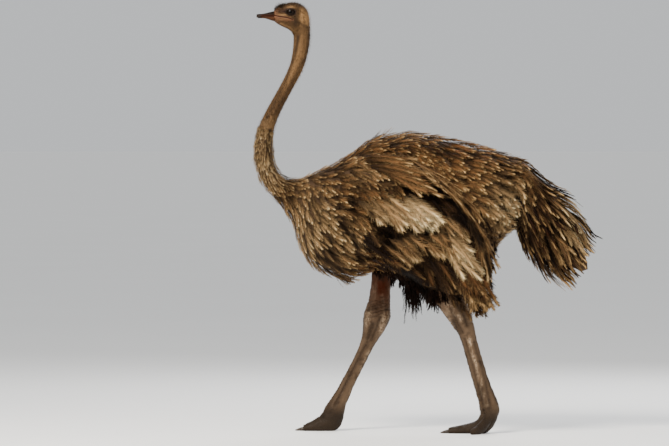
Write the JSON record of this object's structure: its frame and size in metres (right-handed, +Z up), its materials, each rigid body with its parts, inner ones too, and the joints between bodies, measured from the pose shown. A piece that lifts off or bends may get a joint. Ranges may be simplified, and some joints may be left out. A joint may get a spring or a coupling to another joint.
{
  "type": "walking female ostrich still model",
  "caption": "Life-size still model of a female ostrich in mid-stride, neck raised, wings folded, plumed tail hanging; it stands on flat soles.",
  "frame": {"origin": "on the floor, under the middle of the bird's box", "axes": "+Z up; -X is the way the bird faces; -Y is its left side"},
  "size_m": [1.4451, 0.6264, 1.7943],
  "materials": {
    "plumage_brown": "soft brown feathers with tan edges, matt",
    "plumage_pale": "pale grey-cream plumes with brown shafts, matt",
    "plumage_dark": "near-black brown plumes with tan edges, matt",
    "neck_down": "short hair-like brown down over skin, matt",
    "bare_skin": "bare grey-brown skin with fine folds",
    "leg_scale": "grey-brown scaled skin with broad plates in front",
    "bill_horn": "pinkish-brown horn, darker at the tip, satin",
    "claw_horn": "dark worn horn, satin",
    "eye_dark": "wet near-black brown eye"
  },
  "bodies": {
    "root": {"head": "neck_down", "bill_upper": "bill_horn", "bill_lower": "bill_horn", "eye_left": "eye_dark", "eye_right": "eye_dark", "neck_upper": "neck_down", "neck_middle": "neck_down", "neck_lower": "plumage_pale", "trunk": "plumage_brown", "tail": "plumage_dark", "belly_tassel": "plumage_dark", "wing_left": "plumage_pale", "wing_right": "plumage_pale", "drumstick_left": "bare_skin", "drumstick_right": "bare_skin", "hock_left": "leg_scale", "hock_right": "leg_scale", "shank_left": "leg_scale", "shank_right": "leg_scale", "big_toe_left": "leg_scale", "big_toe_right": "leg_scale", "small_toe_left": "leg_scale", "small_toe_right": "leg_scale", "big_claw_left": "claw_horn", "big_claw_right": "claw_horn"}
  },
  "joints": []
}
